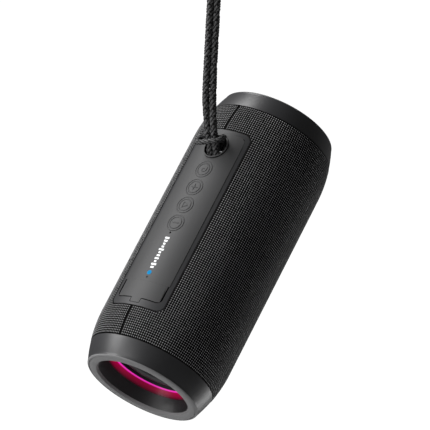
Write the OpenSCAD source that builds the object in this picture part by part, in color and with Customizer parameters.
// Portable shower speaker, hanging from its cord lanyard.
// World frame: +Z up, origin where the lanyard's eye bears on its hook.
// The speaker is drawn upright about its own centre and then hung by place().

/* [Body] */
// Largest diameter of the body, over the fabric
body_d = 82; // [80:1:84]
// Length over the two end caps
body_l = 184.4; // [182:0.2:187]
// Length of the straight middle, before the ends taper
straight_l = 120.6; // [118:0.2:124]
// Diameter of each end, at its rounded edge
end_d = 70.2; // [69:0.2:71]
// Width of the plastic band of each end cap
cap_w = 12.5; // [11.5:0.5:13.5]
// Thickness of the woven sleeve
fabric_t = 0.9; // [0.6:0.1:0.9]
// Wall of the moulded shells
wall_t = 2.2; // [1.8:0.1:2.4]

/* [End recess] */
// Diameter of the opening in each end
opening_d = 58; // [57:0.5:59]
// Diameter at the bottom of the recess
recess_floor_d = 49.4; // [49:0.2:50]
// Depth of the recess to the deep edge of the diffuser
recess_depth = 13.7; // [13:0.1:14]
// Height of the lit diffuser ring
diffuser_h = 4.5; // [4:0.1:5]

/* [Control panel] */
// Width of the soft panel
panel_w = 31.2; // [30:0.2:32]
// Lower and upper end of the soft panel, from the middle
panel_lo = -55.9; // [-56.2:0.1:-55.6]
panel_hi = 58.0; // [57.6:0.1:58.2]
// Thickness of the soft panel
panel_t = 1.6; // [1.4:0.1:1.7]
// Width of the bezel around the panel
bezel_w = 36.6; // [36:0.2:37.4]
// Length of the bezel
bezel_l = 121.4; // [121:0.2:122]
// Diameter of each button
button_d = 9.6; // [9:0.2:10]
// Height of the highest button and the pitch between buttons
button_top = 32.7; // [32:0.1:33]
button_pitch = 12.45; // [12:0.05:12.5]
// Height of the fold line of the port flap
flap_fold = -44.4; // [-45:0.1:-44]

/* [Lanyard] */
// Diameter of the braided cord
cord_d = 4; // [3.6:0.1:4]
// Lean of the hanging body from upright, in degrees
hang_tilt = 38.8; // [38:0.2:40]
// Diameter of the steel bar that the cord is hitched round
bar_d = 3; // [2.6:0.1:3]

/* [Works] */
// Outer diameter of each driver's flange
driver_d = 45; // [44:0.5:45]
// Distance between the two drivers
driver_pitch = 60; // [58:1:62]
// Height of the middle of the pair, which sets the point of balance
driver_mid = -7; // [-7:1:0]
// Diameter and length of each battery cell
cell_d = 18.4; // [18:0.1:18.6]
cell_l = 65; // [60:1:66]
// Height of the middle of the cells, which sets the point of balance
cell_z = -13; // [-13:1:-6]
// Diameter of each radiator's stiff disc
disc_d = 34.4; // [33:0.2:34.6]

/* [Hidden] */
$fn = 96;

tiny = 0.1;                          // running gap between fitted parts of one body
half_l = body_l / 2;
edge_r = 1.3;                        // round of the cap's outer edge
seam_z = half_l - cap_w;             // where the fabric meets the cap
shell_z = seam_z - 0.2;
cap_face_r = end_d / 2 - edge_r;
shell_out = fabric_t + tiny;         // inset of the shell's outside from the surface
shell_in = shell_out + wall_t;       // inset of the shell's inside
deck_r = body_d / 2 - panel_t - tiny;
deck_in = deck_r - 1.5;
shell_r = body_d / 2 - shell_out;
tray_back = 31;                      // depth of the tray, from the body's axis
ledge_y = 30;
baffle_y = 30;
board_y = 33.4;
bulkhead_z = 70.4;
bulkhead_t = 2.5;
frame_z = bulkhead_z + bulkhead_t + tiny;
frame_t = 4.1;
light_z = frame_z + frame_t + tiny;
diffuser_z = half_l - recess_depth;
bay = [14.4, -55.0, -46.4];          // half width, lower and upper edge of the port bay
port_face = 35.6;                    // depth of the sockets' mouths
port_floor = -53.3;
usb_x = 2.2;
aux_x = 10;
sd_x = -8.2;
button_zs = [for (i = [0:3]) button_top - i * button_pitch];
cup_z = 49;
cup_r = 8.3;
bar_at = [0, -36.9, 47];
body_at = [0, 10, -190];             // centre of the hanging speaker
upper_z = driver_mid + driver_pitch / 2;
lower_z = driver_mid - driver_pitch / 2;
joint_screws = [for (side = [-1, 1]) for (z = [-50, 0, 50]) [side * 33.5, z]];

// ---- cord routes, in the hanging frame -------------------------------------------------

left_route = [[-2.1, 3.5, -116], [-2.25, 1.8, -108], [-2.05, 0.15, -100],
    [-1.7, -0.85, -92], [-1.6, -1.25, -80], [-1.6, -1.25, -60], [-1.6, -1.25, -40],
    [-1.6, -1.25, -32.2]];
right_route = [[2.1, 3.5, -116], [1.85, 2.6, -108], [1.65, 1.85, -100],
    [1.7, 1.45, -92], [1.6, 1.25, -80], [1.6, 1.25, -60], [1.6, 1.25, -40],
    [1.6, 1.25, -27], [3.1, 2.5, -22], [5.2, 4.1, -16], [6.1, 4.8, -9.5], [5.0, 4.0, -3],
    [2.5, 2.0, 0.9], [0, 0, 2], [-2.5, -2.0, 0.9], [-5.0, -4.0, -3], [-6.1, -4.8, -9.5],
    [-5.2, -4.1, -16], [-3.1, -2.5, -22], [-1.6, -1.25, -27], [-1.6, -1.25, -31.8]];
hitch_route = [[-2.1, 3.5, -116], [-2.1, 4.6, -120.5], [-2.1, 6.0, -125],
    [-2.1, 7.0, -130], [-2.1, 8.1, -132.9], [-2.1, 10.7, -134], [-2.1, 13.3, -132.9],
    [-2.1, 14.4, -130.2], [-2.1, 13.3, -127.4], [-2.1, 11.5, -124.4],
    [-2.6, 9.5, -121.8], [-5.2, 7.6, -120.6], [-8.0, 5.2, -121.4], [-8.7, 2.8, -123],
    [-7.2, 0.8, -123.9], [-4.0, 0.3, -123.8], [0, 0.5, -122.9], [3.4, 0.9, -122.2],
    [6.2, 2.6, -121.4], [7.7, 5.2, -120.4], [6.6, 7.8, -120], [4.4, 9.2, -120.4],
    [2.4, 10.2, -122.2], [2.1, 11.7, -124.7], [2.1, 13.3, -127.4], [2.1, 14.4, -130.2],
    [2.1, 13.3, -132.9], [2.1, 10.7, -134], [2.1, 8.1, -132.9], [2.1, 7.0, -130],
    [2.1, 6.0, -125], [2.1, 4.6, -120.5], [2.1, 3.5, -116]];

// ---- helpers ---------------------------------------------------------------------------

// Radius of the outside at a height above or below the middle
function body_r(z) = body_d / 2 - (body_d - end_d) / 2
    * pow(max(0, (abs(z) - straight_l / 2) / (half_l - edge_r - straight_l / 2)), 2.04);

// Heights at which a profile needs a point, between two heights
function heights(lo, hi) = concat([lo],
    [for (z = [-75, -70, -66, -straight_l / 2, straight_l / 2, 66, 70, 75])
        if (z > lo + 1 && z < hi - 1) z], [hi]);

function unit(v) = v / norm(v);
function flat_to(v, t) = unit(v - (v * t) * t);

// A point between b and c on the smooth curve through a, b, c and d
function between(a, b, c, d, t) = b + 0.5 * t * (c - a
    + t * (2 * a - 5 * b + 4 * c - d + t * (3 * (b - c) + d - a)));
function smooth(route, steps) = let (last = len(route) - 1) concat(
    [for (i = [0:last - 1]) for (s = [0:steps - 1])
        between(route[max(i - 1, 0)], route[i], route[i + 1], route[min(i + 2, last)],
            s / steps)], [route[last]]);
function way(path, i) = unit(path[min(i + 1, len(path) - 1)] - path[max(i - 1, 0)]);

// A round cord swept along a path, as one closed solid
module cord(path, d, sides = 8) {
    count = len(path);
    across = [for (i = 0, n = flat_to([1, 0.3, 0.2], way(path, 0)); i < count;
        i = i + 1, n = flat_to(n, way(path, min(i, count - 1)))) n];
    points = [for (i = [0:count - 1]) for (k = [0:sides - 1])
        let (a = 360 * k / sides, n = across[i], b = cross(way(path, i), n))
            path[i] + d / 2 * (cos(a) * n + sin(a) * b)];
    walls = [for (i = [0:count - 2]) for (k = [0:sides - 1])
        let (a = i * sides + k, b = i * sides + (k + 1) % sides)
            [a, a + sides, b + sides, b]];
    ends = [[for (k = [0:sides - 1]) k],
        [for (k = [sides - 1:-1:0]) (count - 1) * sides + k]];
    polyhedron(points, concat(walls, ends), 4);
}

// Hangs what is drawn about the speaker's own centre
module place() translate(body_at) rotate([-hang_tilt, 0, 0]) children();

// Draws the top end, or the same thing at the bottom end
module at_end(top) mirror([0, 0, top ? 0 : 1]) children();

// Turns what is drawn along Z to face out of the panel, with z = 0 on the body's axis
module facing() rotate([90, 0, 0]) children();

// A barrel-shaped ring between two insets from the outside
module barrel(lo, hi, outer, inner) {
    zs = heights(lo, hi);
    rotate_extrude() polygon(concat([for (z = zs) [body_r(z) - outer, z]],
        [for (i = [len(zs) - 1:-1:0]) [body_r(zs[i]) - inner, zs[i]]]));
}

module ring(r_in, r_out, z, h) translate([0, 0, z]) difference() {
    cylinder(r = r_out, h = h);
    translate([0, 0, -1]) cylinder(r = r_in, h = h + 2);
}

module outline(half_w, lo, hi, corner) {
    translate([-half_w, lo + corner]) square([2 * half_w, hi - lo - 2 * corner]);
    translate([-half_w + corner, lo]) square([2 * (half_w - corner), hi - lo]);
    for (x = [-1, 1]) for (z = [lo + corner, hi - corner])
        translate([x * (half_w - corner), z]) circle(r = corner);
}

// A rounded block behind the panel, from one depth to another
module block(half_w, lo, hi, corner, from, to)
    facing() translate([0, 0, from]) linear_extrude(to - from)
        outline(half_w, lo, hi, corner);

// The same with square corners
module slab(half_w, lo, hi, from, to)
    facing() translate([-half_w, lo, from]) cube([2 * half_w, hi - lo, to - from]);

// A round thing square to the panel at a place on it
module post(x, z, r, from, to)
    facing() translate([x, z, from]) cylinder(r = r, h = to - from);

module drum(r) translate([0, 0, -half_l]) cylinder(r = r, h = body_l);

// Everything past the middle plane, on the panel's side or behind it
module half(front, gap) translate([-50, front ? -100 - gap : gap, -100])
    cube([100, 100, 200]);

module plate(x0, x1, y0, y1, z0, z1)
    translate([x0, y0, z0]) cube([x1 - x0, y1 - y0, z1 - z0]);

// ---- sleeve and shells -----------------------------------------------------------------

module grille_fabric() color("#26272a") place() difference() {
    barrel(-seam_z, seam_z, 0, fabric_t);
    block(bezel_w / 2 + 0.2, -bezel_l / 2 - 0.2, bezel_l / 2 + 0.2, 4.7, 20, 45);
}

module at_both() for (top = [true, false]) at_end(top) children();
module bulkhead() at_both() ring(24.6, 38, bulkhead_z, bulkhead_t);
module screw_holes(r) at_both() for (a = [45:90:315]) rotate([0, 0, a])
    translate([30.6, 0, 60]) cylinder(r = r, h = 20);

// Rear half of the inner housing, with the flat baffle that carries the drivers
module baffle_shell() color("#2b2c2e") place() difference() {
    intersection() {
        union() {
            barrel(-shell_z, shell_z, shell_out, shell_in);
            bulkhead();
            intersection() {
                plate(-26, 26, baffle_y - 2.5, baffle_y, -60, 60);
                drum(shell_r - 1);
            }
            for (s = joint_screws) translate([s[0], 0.5, s[1]]) rotate([-90, 0, 0])
                intersection() {
                    cylinder(r = 3.4, h = 11);
                    translate([-s[0], 0, 0]) rotate([90, 0, 0]) drum(shell_r - 1);
                }
        }
        half(false, 0.5);
    }
    for (z = [lower_z, upper_z]) translate([0, 0, z]) rotate([-90, 0, 0]) {
        cylinder(r = 20.6, h = 60);
        translate([0, 0, baffle_y]) cylinder(r = driver_d / 2 + 0.7, h = 30);
        for (a = [45:90:315]) rotate([0, 0, a]) translate([21.5, 0, 20])
            cylinder(r = 0.6, h = 15);
    }
    for (s = joint_screws) translate([s[0], 0, s[1]]) rotate([-90, 0, 0])
        cylinder(r = 1.3, h = 9);
    screw_holes(1.1);
}

// Front half of the inner housing, with the well that holds the control tray
module panel_shell() color("#2b2c2e") place() difference() {
    intersection() {
        union() {
            barrel(-shell_z, shell_z, shell_out, shell_in);
            bulkhead();
            intersection() {
                block(19, -59.4, 61.2, 4.5, ledge_y - 1.2, 45);
                drum(shell_r - 1);
            }
            for (s = joint_screws) intersection() {
                post(s[0], s[1], 4.2, 0.5, 22);
                drum(shell_r - 1);
            }
        }
        half(true, 0.5);
    }
    block(17.4, -57.8, 59.9, 4.2, ledge_y, 45);
    block(15.4, -55.7, 58.3, 2.5, ledge_y - 5, 45);
    for (s = joint_screws) {
        post(s[0], s[1], 1.7, -1, 20);
        post(s[0], s[1], 3.1, 8, 40);
    }
    screw_holes(1.1);
}

// Strips that seal the joint between the two shells
module shell_gasket() color("#3c3d40") place() difference() {
    intersection() {
        barrel(-shell_z + 0.5, shell_z - 0.5, shell_out + 0.5, shell_in - 0.4);
        plate(-50, 50, -0.4, 0.4, -100, 100);
    }
    for (s = joint_screws) post(s[0], s[1], 1.9, -5, 5);
}

module screw(head_r, head_h, shank_r, shank_l) {
    cylinder(r = head_r, h = head_h);
    translate([0, 0, -shank_l]) cylinder(r = shank_r, h = shank_l + 0.5);
}

module case_screws() color("#8d9094") place() for (s = joint_screws)
    facing() translate([s[0], s[1], 8.05]) difference() {
        screw(2.8, 2, 1.25, 15);
        translate([0, 0, 0.9]) cylinder(r = 1.1, h = 2, $fn = 6);
    }

// ---- control panel ---------------------------------------------------------------------

module tab(inset, extra, from) intersection() {
    block(3.26 + extra, -58.8 - extra, panel_lo + 0.6, 0.8, 30, 45);
    difference() {
        drum(body_d / 2 - inset);
        drum(from);
    }
}

// Hard plastic tray: the bezel, the deck under the soft panel and the walls to the shell
module control_tray() color("#3a3b3e") place() difference() {
    union() {
        intersection() {
            difference() {
                block(17.2, -57.6, 59.7, 4, tray_back, 45);
                intersection() {
                    block(15.9, panel_lo - 0.3, panel_hi + 0.35, 3, tray_back - 1, 45);
                    drum(deck_in);
                }
            }
            drum(body_d / 2);
        }
        intersection() {
            block(bezel_w / 2, -bezel_l / 2, bezel_l / 2, 4.5, 30, 45);
            difference() {
                drum(body_d / 2);
                drum(shell_r + tiny);
            }
        }
    }
    difference() {
        block(panel_w / 2 + 0.3, panel_lo - 0.3, panel_hi + 0.35, 3.3, 30, 45);
        drum(deck_r);
    }
    difference() {
        block(3.6, -59.1, panel_lo + 1, 1, 30, 45);
        drum(shell_r + 0.15);
    }
    for (z = button_zs) post(0, z, 3, 30, 45);
    post(0, cup_z, cup_r + 1, 20, 45);
    block(bay[0], bay[1], bay[2], 1, 20, 45);
    post(0, -11.5, 0.8, 20, 45);
    post(0, -42, 0.8, 20, 45);
}

// Soft overlay with the lanyard hole, the four button openings and two pin holes
module control_panel() color("#47484b") place() difference() {
    union() {
        intersection() {
            block(panel_w / 2, flap_fold, panel_hi, 3, 30, 45);
            difference() {
                drum(body_d / 2);
                drum(body_d / 2 - panel_t);
            }
        }
        intersection() {
            slab(panel_w / 2, flap_fold, flap_fold + 8, 30, 45);
            difference() {
                drum(body_d / 2);
                drum(body_d / 2 - panel_t);
            }
        }
        intersection() {
            post(0, cup_z, 8.2, 30, 45);
            difference() {
                drum(body_d / 2 + 0.7);
                drum(body_d / 2 - panel_t);
            }
        }
    }
    post(0, cup_z, 7.3, 20, 45);
    for (z = button_zs) post(0, z, button_d / 2 + 0.25, 30, 45);
    post(0, -11.5, 0.6, 30, 45);
    post(0, -42, 0.65, 30, 45);
}

// Soft cover of the port bay: a skin, a narrower inner layer, a pull tab and a sealing rib
module port_flap() color("#47484b") place() {
    flap_layer(0, 3, body_d / 2, shell_r + 0.3);
    flap_layer(1, 2, shell_r + 0.4, deck_r + 0.3);
    tab(0, 0, shell_r + 0.3);
    intersection() {
        difference() {
            block(13.8, -54.4, -46.9, 1, 30, 45);
            block(12.8, -53.4, -47.9, 0.6, 20, 46);
        }
        difference() {
            drum(deck_r + 0.4);
            drum(38.3);
        }
    }
}
module flap_layer(inset, corner, r_out, r_in) intersection() {
    union() {
        block(panel_w / 2 - inset, panel_lo + inset, flap_fold - 0.3, corner, 30, 45);
        slab(panel_w / 2 - inset, flap_fold - 6, flap_fold - 0.3, 30, 45);
    }
    difference() {
        drum(r_out);
        drum(r_in);
    }
}

module button(z) color("#47484b") place() {
    intersection() {
        post(0, z, button_d / 2, 30, 45);
        difference() {
            drum(body_d / 2 + 0.15);
            drum(body_d / 2 - panel_t + 0.55);
        }
    }
    post(0, z, 2.6, 37.5, 40);
}

module button_mode() button(button_zs[0]);
module button_plus() button(button_zs[1]);
module button_play() button(button_zs[2]);
module button_minus() button(button_zs[3]);

// Closed seal between the tray and the ledge of the shell
module tray_gasket() color("#1f2022") place() difference() {
    block(17.1, -57.5, 59.6, 4, ledge_y + 0.1, tray_back - 0.1);
    block(15.7, -56, 58.4, 2.8, 20, 45);
}

module control_board() color("#1e5b3a") place()
    block(13.5, -43.5, 38.8, 1, board_y, board_y + 1.2);

module tact_switches() color("#c9cbce") place() for (z = button_zs) {
    block(3, z - 3, z + 3, 0.4, board_y + 1.2, board_y + 2.8);
    post(0, z, 1.6, board_y + 2.7, board_y + 3.4);
}

module microphone() color("#b9bcc0") place()
    post(0, -11.5, 1.9, board_y + 1.2, board_y + 2.4);

module charge_light() color("#e8eef2") place() {
    post(0, -42, 0.55, board_y + 1.2, body_d / 2 - 0.1);
    post(0, -42, 1.2, board_y + 1.2, board_y + 2.2);
}

// ---- ports -----------------------------------------------------------------------------

module port_board() color("#1e5b3a") place()
    plate(-14.2, 14.2, -35.3, -20, port_floor - 1.3, port_floor - 0.1);

// USB-C receptacle: a rounded steel shell with its tongue
module usb_c_port() color("#b9bcc0") place() {
    difference() {
        block_at(usb_x, port_floor, 8.94, 3.26, 1.6, port_face - 7.3, port_face);
        block_at(usb_x, port_floor + 0.35, 8.34, 2.56, 1.27, port_face - 6.7, 40);
    }
    plate(usb_x - 3.3, usb_x + 3.3, -port_face + 0.8, -port_face + 7.1,
        port_floor + 1.28, port_floor + 1.98);
}
module block_at(x, lo, w, h, corner, from, to) translate([x, 0, 0])
    block(w / 2, lo, lo + h, corner, from, to);

module aux_jack() color("#1c1d1f") place() difference() {
    plate(aux_x - 3.1, aux_x + 3.1, -port_face, -port_face + 14.5,
        port_floor, port_floor + 5.4);
    post(aux_x, port_floor + 2.7, 1.8, port_face - 14, 40);
}

module microsd_socket() color("#c9cbce") place() difference() {
    plate(sd_x - 5.9, sd_x + 5.9, -port_face + 1, -port_face + 14,
        port_floor, port_floor + 1.9);
    plate(sd_x - 5.55, sd_x + 5.55, -port_face - 1, -port_face + 13,
        port_floor + 0.45, port_floor + 1.45);
}

// ---- electronics and battery -----------------------------------------------------------

module main_board() color("#1e5b3a") place() {
    block(22, -36, 38, 2, 26, 27.5);
    plate(-9, 9, -29.7, -27.4, 12, 32);
    plate(-14, -4, -30, -27.4, -12, 0);
    plate(4, 14, -30, -27.4, -14, -4);
    for (x = [-11.1, -3.7, 3.7, 11.1]) post(x, -26, 3.4, 27.4, 30.3);
}

module battery_holder() color("#303134") place() difference() {
    plate(-20.6, 20.6, -24.4, -2.6, cell_z - cell_l / 2 - 2.2, cell_z + cell_l / 2 + 2.2);
    for (x = [-1, 1]) translate([x * (cell_d / 2 + 0.4), -14, cell_z - cell_l / 2 - 0.2])
        cylinder(r = cell_d / 2 + 0.2, h = cell_l + 0.4);
    plate(-15, 15, -30, 0, cell_z - cell_l / 2 + 5, cell_z + cell_l / 2 - 5);
}

module battery_cells() color("#3f78b5") place() for (x = [-1, 1])
    translate([x * (cell_d / 2 + 0.4), -14, cell_z - cell_l / 2])
        cylinder(r = cell_d / 2, h = cell_l - 0.2);

// ---- lanyard ---------------------------------------------------------------------------

module lanyard_cup() color("#2b2c2e") place() difference() {
    post(0, cup_z, cup_r + 0.8, 29.6, 38.2);
    post(0, cup_z, cup_r, 30.6, 45);
    translate([-20, bar_at[1], bar_at[2]]) rotate([0, 90, 0])
        cylinder(r = bar_d / 2 + 0.02, h = 40);
}

module lanyard_bar() color("#a9acb0") place() translate([-8.5, bar_at[1], bar_at[2]])
    rotate([0, 90, 0]) cylinder(r = bar_d / 2, h = 17);

module lanyard_hitch() color("#303236") cord(smooth(hitch_route, 2), cord_d);
module lanyard_strand_left() color("#303236") difference() {
    cord(left_route, cord_d);
    flex_gap();
}
module lanyard_strand_right() color("#303236") difference() {
    cord(right_route, cord_d);
    flex_gap();
}

// Room for the cord to bend above the hitch
module flex_gap() translate([-10, -6, -117]) cube([20, 20, 3]);

module lanyard_crimp() color("#1c1d1f") {
    rotate([0, 0, 38]) difference() {
        union() {
            translate([0, 0, -37]) linear_extrude(10) pill(3.2);
            translate([0, 0, -36]) linear_extrude(1) pill(3.6);
            translate([0, 0, -29]) linear_extrude(1) pill(3.6);
        }
        for (x = [-2.04, 2.04]) translate([x, 0, -40]) cylinder(r = cord_d / 2 + 0.02, h = 20);
    }
}
module pill(r) {
    square([4, 2 * r], center = true);
    for (x = [-2, 2]) translate([x, 0]) circle(r = r);
}

// ---- ends ------------------------------------------------------------------------------

function recess_r(z) = opening_d / 2
    - (half_l - z) * (opening_d - recess_floor_d) / 2 / recess_depth;

// Moulded end cap: outer band, rounded edge, ring seat and the glossy recess wall
module end_cap(top) color("#2f3033") place() at_end(top) {
    seat_z = half_l - 1.85;
    shelf_z = diffuser_z + diffuser_h + 0.05;
    rotate_extrude() polygon(concat(
        [[35.1, seam_z + tiny], [body_r(seam_z), seam_z + tiny]],
        [for (z = [82, 84.5, 87, 89]) [body_r(z), z]],
        [for (a = [0:30:90]) [cap_face_r + edge_r * cos(a), half_l - edge_r + edge_r * sin(a)]],
        [[cap_face_r - 0.05, seat_z], [recess_r(seat_z), seat_z],
            [recess_r(shelf_z), shelf_z], [28.35, shelf_z], [28.35, diffuser_z - 0.05],
            [30.2, diffuser_z - 0.05], [30.4, 84], [30.9, 88.2], [33.2, 88.2],
            [33.2, 73.6], [35.1, 73.6], [35.1, 75.2], [34.5, 75.2], [34.5, 77],
            [35.1, 77]]));
}

module foot_ring(top) color("#55565a") place() at_end(top)
    rotate_extrude() polygon([[opening_d / 2 - 0.5, half_l - 1.8],
        [cap_face_r - 0.15, half_l - 1.8], [cap_face_r - 0.15, half_l - 0.3],
        [cap_face_r - 0.45, half_l], [opening_d / 2 + 0.3, half_l],
        [opening_d / 2 - 0.05, half_l - 0.35]]);

module diffuser(top) color("#c2185b") place() at_end(top)
    rotate_extrude() polygon([[recess_floor_d / 2, diffuser_z],
        [28.3, diffuser_z], [28.3, diffuser_z + diffuser_h],
        [recess_r(diffuser_z + diffuser_h), diffuser_z + diffuser_h]]);

module light_board(top) color("#dfe3e6") place() at_end(top) {
    ring(24.9, 28.4, light_z, 1);
    for (a = [15:30:345]) rotate([0, 0, a]) translate([25.6, -1, light_z + 0.9])
        cube([2, 2, 0.35]);
}

module cap_seals() color("#141516") place() at_both() translate([0, 0, 76.1])
    rotate_extrude() translate([35.35, 0]) circle(r = 0.8);

module radiator_frame(top) color("#26272a") place() at_end(top) difference() {
    union() {
        ring(24, 32.8, frame_z, frame_t);
        ring(24, 24.8, frame_z, frame_t + 1.4);
    }
    for (a = [45:90:315]) rotate([0, 0, a]) translate([30.6, 0, frame_z - 1]) {
        cylinder(r = 1.4, h = 10);
        translate([0, 0, 3]) cylinder(r = 2.15, h = 10);
    }
}

module radiator_surround(top) color("#141516") place() at_end(top) {
    roll = (24 - 0.35 - disc_d / 2) / 2;
    translate([0, 0, 74.6]) rotate_extrude() translate([disc_d / 2 + 0.05 + roll, 0])
        intersection() {
            difference() {
                circle(r = roll - 0.02);
                circle(r = roll - 1.1);
            }
            translate([-5, 0]) square([10, 10]);
        }
}

module radiator_disc(top) color("#3f4145") place() at_end(top) rotate_extrude() {
    polygon([[0, 74], [disc_d / 2, 74], [disc_d / 2, 76], [disc_d / 2 - 0.8, 76.6],
        [12, 76.9], [0, 77.3]]);
    square_at(0, 7, 70, 74.2);
}
module square_at(x0, x1, y0, y1) translate([x0, y0]) square([x1 - x0, y1 - y0]);

// Self-tapping screws that hold the radiator frames to the bulkheads
module frame_screws() color("#8d9094") place() at_both() for (a = [45:90:315])
    rotate([0, 0, a]) translate([30.6, 0, frame_z + 2.05]) screw(2, 1.5, 1.05, 4.8);

// ---- drivers ---------------------------------------------------------------------------

// Turns what is drawn along Z to point out of the rear of the body, from the baffle
module at_driver(z) translate([0, baffle_y, z]) rotate([-90, 0, 0]) children();

module driver_basket(z) color("#6e7175") place() at_driver(z) difference() {
    rotate_extrude() polygon([[19.5, 1.25], [driver_d / 2, 1.25], [driver_d / 2, 0.05],
        [20.4, 0.05], [20.4, -2.4], [15.4, -9.9], [8, -9.9], [8, -9], [14.8, -9],
        [19.5, -2.2]]);
    for (a = [45:90:315]) rotate([0, 0, a]) translate([21.5, 0, -2]) cylinder(r = 0.62, h = 5);
    for (a = [0:90:270]) rotate([0, 0, a]) translate([16.6, 0, -7.6]) rotate([90, 0, 0])
        cylinder(r = 2.1, h = 9, center = true);
}

module driver_screws() color("#8d9094") place() for (z = [lower_z, upper_z])
    for (a = [45:90:315])
        at_driver(z) rotate([0, 0, a]) translate([21.5, 0, 1.35]) screw(0.9, 0.4, 0.55, 3);

module driver_magnet(z) color("#3b3d40") place() at_driver(z) ring(9, 12.8, -18, 6);

// Steel of the motor: its top plate, and its back plate with the pole
module driver_yoke(z) color("#a9acb0") place() at_driver(z) {
    ring(7.3, 12.4, -11.95, 1.95);
    translate([0, 0, -20.5]) cylinder(r = 12.4, h = 2.45);
    translate([0, 0, -20.5]) cylinder(r = 5.9, h = 10.7);
}

module driver_surround(z) color("#141516") place() at_driver(z)
    rotate_extrude() translate([17.6, -0.4]) intersection() {
        difference() {
            circle(r = 1.55);
            circle(r = 0.95);
        }
        translate([-3, 0]) square([6, 3]);
    }

module driver_cone(z) color("#2b2c2e") place() at_driver(z) {
    rotate_extrude() polygon([[16, -0.4], [16, 0.2], [15.6, 0.2], [6.4, -6], [6.4, -6.8]]);
    translate([0, 0, -10]) rotate_extrude() intersection() {
        difference() {
            circle(r = 9);
            circle(r = 8.4);
        }
        translate([0, 1.8]) square([7.5, 10]);
    }
}

module voice_coil(z) color("#b87333") place() at_driver(z) ring(6.35, 6.85, -14.3, 7.4);

// Perforated steel covers that hold the fabric off the drivers
module speaker_guards() color("#1f2022") place() for (z = [lower_z, upper_z])
    difference() {
        intersection() {
            translate([0, 30, z]) rotate([-90, 0, 0]) cylinder(r = driver_d / 2 + 0.5, h = 15);
            difference() {
                drum(shell_r - 0.1);
                drum(shell_r - 1.1);
            }
        }
        for (i = [0:18]) {
            a = i == 0 ? 0 : i < 7 ? i * 60 : (i - 7) * 30 + 15;
            r = i == 0 ? 0 : i < 7 ? 8 : 16;
            translate([r * cos(a), 20, z + r * sin(a)]) rotate([-90, 0, 0])
                cylinder(r = 2.4, h = 30);
        }
    }

// ---- the nodes -------------------------------------------------------------------------

grille_fabric();
baffle_shell();
panel_shell();
shell_gasket();
case_screws();
control_tray();
control_panel();
tray_gasket();
control_board();
tact_switches();
microphone();
charge_light();
port_board();
usb_c_port();
aux_jack();
microsd_socket();
port_flap();
main_board();
battery_holder();
battery_cells();
lanyard_cup();
lanyard_bar();
lanyard_hitch();
lanyard_strand_left();
lanyard_strand_right();
lanyard_crimp();
button_mode();
button_plus();
button_play();
button_minus();
end_cap(true);  // end_cap_top
end_cap(false);  // end_cap_bottom
foot_ring(true);  // foot_ring_top
foot_ring(false);  // foot_ring_bottom
diffuser(true);  // diffuser_top
diffuser(false);  // diffuser_bottom
light_board(true);  // light_board_top
light_board(false);  // light_board_bottom
cap_seals();
radiator_frame(true);  // radiator_frame_top
radiator_frame(false);  // radiator_frame_bottom
radiator_surround(true);  // radiator_surround_top
radiator_surround(false);  // radiator_surround_bottom
radiator_disc(true);  // radiator_disc_top
radiator_disc(false);  // radiator_disc_bottom
frame_screws();
driver_screws();
driver_basket(upper_z);  // driver_basket_upper
driver_basket(lower_z);  // driver_basket_lower
driver_magnet(upper_z);  // driver_magnet_upper
driver_magnet(lower_z);  // driver_magnet_lower
driver_yoke(upper_z);  // driver_yoke_upper
driver_yoke(lower_z);  // driver_yoke_lower
driver_surround(upper_z);  // driver_surround_upper
driver_surround(lower_z);  // driver_surround_lower
driver_cone(upper_z);  // driver_cone_upper
driver_cone(lower_z);  // driver_cone_lower
voice_coil(upper_z);  // voice_coil_upper
voice_coil(lower_z);  // voice_coil_lower
speaker_guards();
